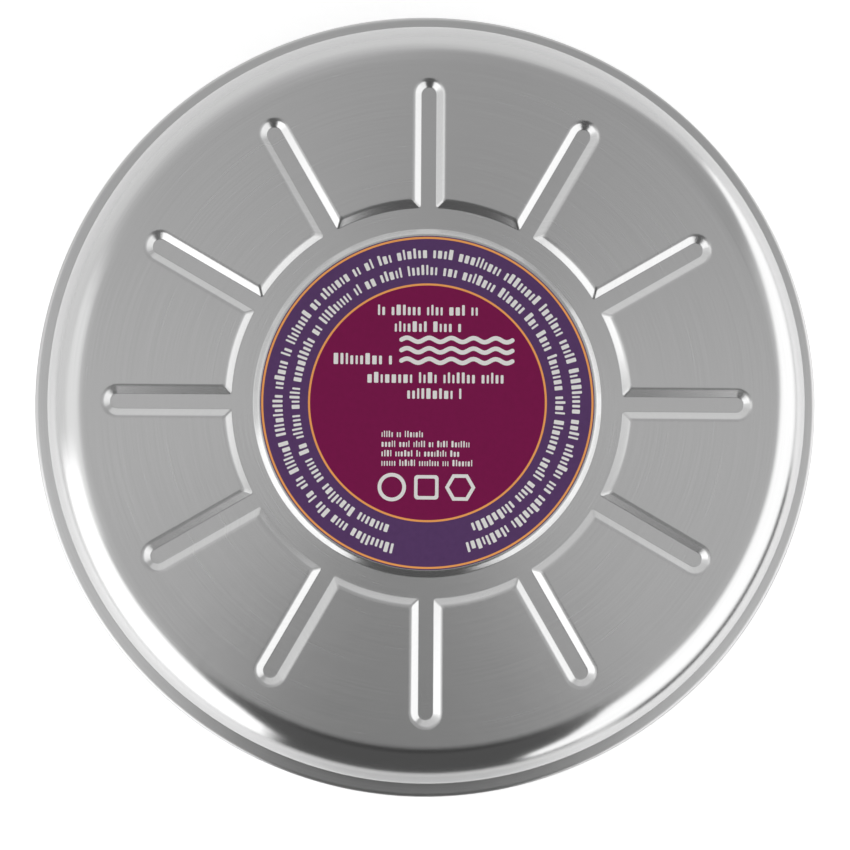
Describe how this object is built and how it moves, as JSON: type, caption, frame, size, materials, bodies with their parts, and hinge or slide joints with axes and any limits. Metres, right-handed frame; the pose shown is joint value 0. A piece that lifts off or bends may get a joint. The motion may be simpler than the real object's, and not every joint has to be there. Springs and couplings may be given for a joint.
{
  "type": "electric bed warmer",
  "caption": "Round flat electric bed warmer: two pressed steel shells with radial grooves and a rolled hem, a label on the front boss and a recessed appliance inlet behind.",
  "frame": {"origin": "centre of the rear face, on the plane that the drum rests on", "axes": "+Z out of the label side; +X and +Y across the face, with +Y up and +X right when the label is viewed"},
  "size_m": [0.235, 0.235, 0.05],
  "materials": {
    "satin_steel": "satin stainless sheet, fine grain",
    "label_print": "printed film, satin",
    "black_moulding": "moulded phenolic, satin",
    "plated_steel": "zinc or nickel plate",
    "contact_brass": "rolled strip",
    "mica_board": "pressed mica, slight sheen",
    "ribbon_alloy": "oxidised resistance ribbon",
    "plate_steel": "aluminised sheet",
    "white_ceramic": "unglazed steatite",
    "cap_aluminium": "drawn",
    "bimetal": "rolled",
    "red_lens": "clear red moulding",
    "lamp_glass": "clear glass",
    "resistor_body": "lacquered",
    "fuse_can": "plated can",
    "white_sleeve": "braided glass-fibre sleeve",
    "brown_sleeve": "braided glass-fibre sleeve",
    "blue_sleeve": "braided glass-fibre sleeve",
    "green_sleeve": "braided glass-fibre sleeve"
  },
  "bodies": {
    "drum": {"front_shell": "satin_steel", "rear_shell": "satin_steel", "rating_label": "label_print", "inlet_housing": "black_moulding", "line_pin": "plated_steel", "neutral_pin": "plated_steel", "earth_pin": "plated_steel", "housing_ring": "plated_steel", "housing_screw_1": "plated_steel", "housing_screw_2": "plated_steel", "housing_screw_3": "plated_steel", "lamp_lens": "red_lens", "neon_lamp": "lamp_glass", "lamp_resistor": "resistor_body", "lamp_line_lead": "white_sleeve", "lamp_neutral_lead": "blue_sleeve", "centre_stud": "plated_steel", "spacer_sleeve": "plated_steel", "front_mica": "mica_board", "heater_ribbon": "ribbon_alloy", "core_mica": "mica_board", "rear_mica": "mica_board", "pressure_plate": "plate_steel", "plate_washer": "plated_steel", "spring_washer": "plated_steel", "stud_nut": "plated_steel", "heater_post_1": "contact_brass", "heater_post_2": "contact_brass", "post_bush_1": "white_ceramic", "post_bush_2": "white_ceramic", "thermostat_cap": "cap_aluminium", "thermostat_bracket": "plated_steel", "bimetal_disc": "bimetal", "pin_guide": "white_ceramic", "thermostat_base": "black_moulding", "arm_terminal": "contact_brass", "contact_terminal": "contact_brass", "thermostat_screw_1": "plated_steel", "thermostat_screw_2": "plated_steel", "thermal_fuse": "fuse_can", "fuse_clip": "plated_steel", "clip_rivet": "contact_brass", "line_lead": "brown_sleeve", "thermostat_lead": "white_sleeve", "fuse_lead": "white_sleeve", "neutral_lead": "blue_sleeve", "earth_lead": "green_sleeve", "earth_tab": "plated_steel"},
    "thermostat_arm": {"contact_arm": "contact_brass"},
    "thermostat_pin": {"push_pin": "white_ceramic"}
  },
  "joints": [
    {"name": "contact_arm_hinge", "type": "hinge", "parent": "drum", "child": "thermostat_arm", "pos_m": [0.04759, 0, 0.03905], "axis": [0, 1, 0], "range_deg": [0, 6], "stiffness_Nm_per_rad": 0.002},
    {"name": "push_pin_slide", "type": "slide", "parent": "drum", "child": "thermostat_pin", "axis": [0, 0, -1], "range_m": [0, 0.00047]}
  ],
  "couplings": [
    {"joint": "contact_arm_hinge", "follows": "push_pin_slide", "rad_per_m": 222.2}
  ]
}
